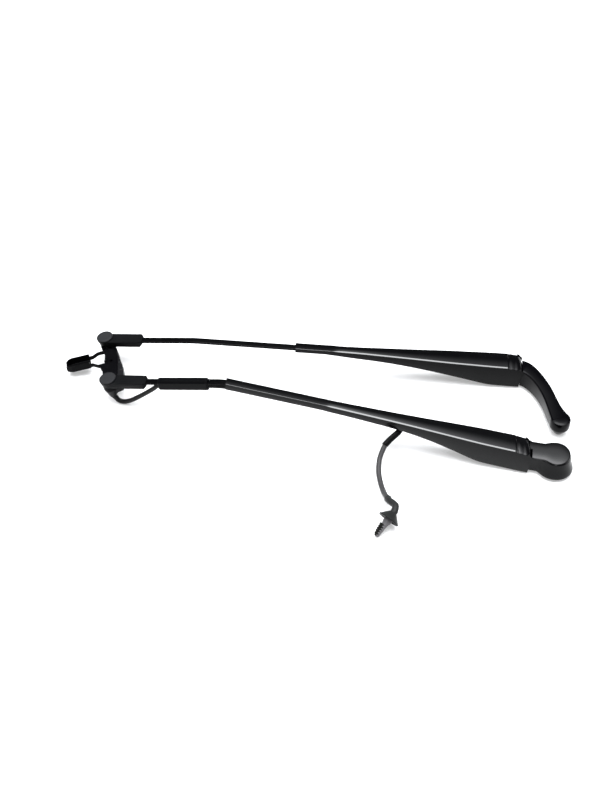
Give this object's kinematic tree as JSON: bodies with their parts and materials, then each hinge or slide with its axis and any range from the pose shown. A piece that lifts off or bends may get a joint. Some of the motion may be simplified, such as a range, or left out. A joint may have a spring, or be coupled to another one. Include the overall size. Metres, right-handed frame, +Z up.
{
  "type": "windshield wiper arm assembly",
  "caption": "Pantograph windshield wiper arm pair with spring-loaded hinges, a tip coupler, a blade holder with washer jets, and a washer hose with a grommet plug.",
  "frame": {"origin": "on the surface that the assembly lies on, under the middle of its box without the free hose and its plug", "axes": "+X from the blade holder to the spindle heads, +Y from the drive arm to the follower arm, +Z up, away from the windshield"},
  "size_m": [0.6234, 0.2972, 0.0635],
  "materials": {
    "black_paint": "satin black",
    "black_casting": "satin black",
    "black_plastic": "matte black",
    "black_rubber": "matte black",
    "grey_hose": "matte dark grey",
    "steel": "bright zinc",
    "bronze": "sintered bronze"
  },
  "bodies": {
    "drive_head": {"drive_head": "black_paint", "drive_head_cap": "black_paint", "drive_hinge_bush": "bronze", "drive_spring_pin": "steel"},
    "drive_arm": {"drive_retainer": "black_paint", "drive_hinge_pin": "steel", "drive_rod": "black_paint", "drive_rod_rivet": "steel", "drive_spring": "steel", "drive_socket": "black_casting", "drive_pivot_cap": "black_plastic", "drive_pivot_pin": "steel", "washer_manifold": "black_plastic", "hose_sleeve": "black_rubber", "washer_hose": "black_rubber", "hose_boot": "black_rubber", "free_hose": "grey_hose", "hose_elbow": "black_rubber", "hose_grommet": "black_rubber", "hose_plug": "black_plastic"},
    "coupler": {"coupler_link": "black_casting", "holder_pin": "steel", "drive_pivot_bush": "bronze", "follower_pivot_bush": "bronze", "nozzle_block": "black_plastic", "nozzle_jet_1": "black_plastic", "nozzle_jet_2": "black_plastic"},
    "blade_holder": {"blade_holder": "black_casting"},
    "follower_arm": {"follower_retainer": "black_paint", "follower_hinge_pin": "steel", "follower_rod": "black_paint", "follower_rod_rivet": "steel", "follower_spring": "steel", "follower_socket": "black_casting", "follower_pivot_cap": "black_plastic", "follower_pivot_pin": "steel", "follower_pivot_washer": "steel", "follower_pivot_clip": "steel"},
    "follower_head": {"follower_head": "black_paint", "follower_hinge_bush": "bronze", "follower_spring_pin": "steel"}
  },
  "joints": [
    {"name": "drive_lift", "type": "hinge", "parent": "drive_head", "child": "drive_arm", "pos_m": [0.2524, -0.0642, 0.0236], "axis": [-0.1616, 0.9869, 0], "range_deg": [0, 65], "deforming": ["drive_spring"]},
    {"name": "coupler_swing", "type": "hinge", "parent": "drive_arm", "child": "coupler", "pos_m": [-0.2431, -0.0642, 0.0396], "axis": [-0.1736, 0, 0.9848], "range_deg": [-45, 35]},
    {"name": "follower_swing", "type": "hinge", "parent": "coupler", "child": "follower_arm", "pos_m": [-0.27133, 0.01049, 0.03462], "axis": [-0.1736, 0, 0.9848], "range_deg": [-35, 45]},
    {"name": "follower_lift", "type": "hinge", "parent": "follower_arm", "child": "follower_head", "pos_m": [0.2299, 0.07317, 0.0236], "axis": [-0.1616, 0.9869, 0], "range_deg": [-65, 0], "deforming": ["follower_spring"]},
    {"name": "blade_rock", "type": "hinge", "parent": "coupler", "child": "blade_holder", "pos_m": [-0.26072, -0.01052, 0.02086], "axis": [-0.3529, 0.9336, -0.0622], "range_deg": [-15, 25]}
  ],
  "couplings": [
    {"joint": "follower_swing", "follows": "coupler_swing", "ratio": -1},
    {"joint": "follower_lift", "follows": "drive_lift", "ratio": -1}
  ]
}
